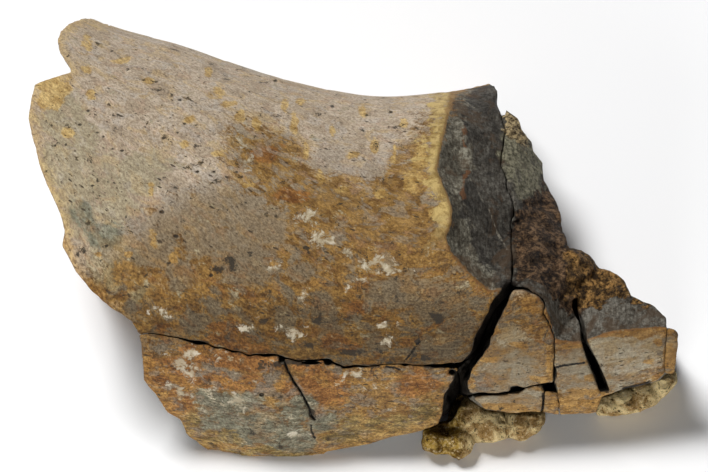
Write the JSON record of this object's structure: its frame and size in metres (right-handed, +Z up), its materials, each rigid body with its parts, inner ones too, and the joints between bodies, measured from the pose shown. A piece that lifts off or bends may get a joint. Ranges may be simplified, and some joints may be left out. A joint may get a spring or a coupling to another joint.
{
  "type": "fossil bone section",
  "caption": "Split piece of fossil limb bone lying on its flat broken side, with a rounded outer wall, a dark broken end, open cracks and clinging rock matrix.",
  "frame": {"origin": "centre of the bounding box on the ground plane", "axes": "+X along the shaft towards the dark broken end, +Y towards the far side of the shaft, +Z up out of the rounded outer wall"},
  "size_m": [0.1878, 0.142, 0.0662],
  "materials": {
    "outer_bone": "matt mineralised bone, tan and grey with brown stains",
    "lower_bone": "matt mineralised bone, grey-brown",
    "broken_bone": "rough broken bone, dark grey and ochre",
    "chip_bone": "matt mineralised bone with broken edges",
    "rock_matrix": "granular ochre rock"
  },
  "bodies": {
    "root": {"upper_shaft": "outer_bone", "lower_wall": "lower_bone", "right_block": "broken_bone", "wedge_chip": "chip_bone", "strip_chip": "chip_bone", "corner_chip": "chip_bone", "end_flake": "broken_bone", "left_matrix": "rock_matrix", "right_matrix": "rock_matrix"}
  },
  "joints": []
}
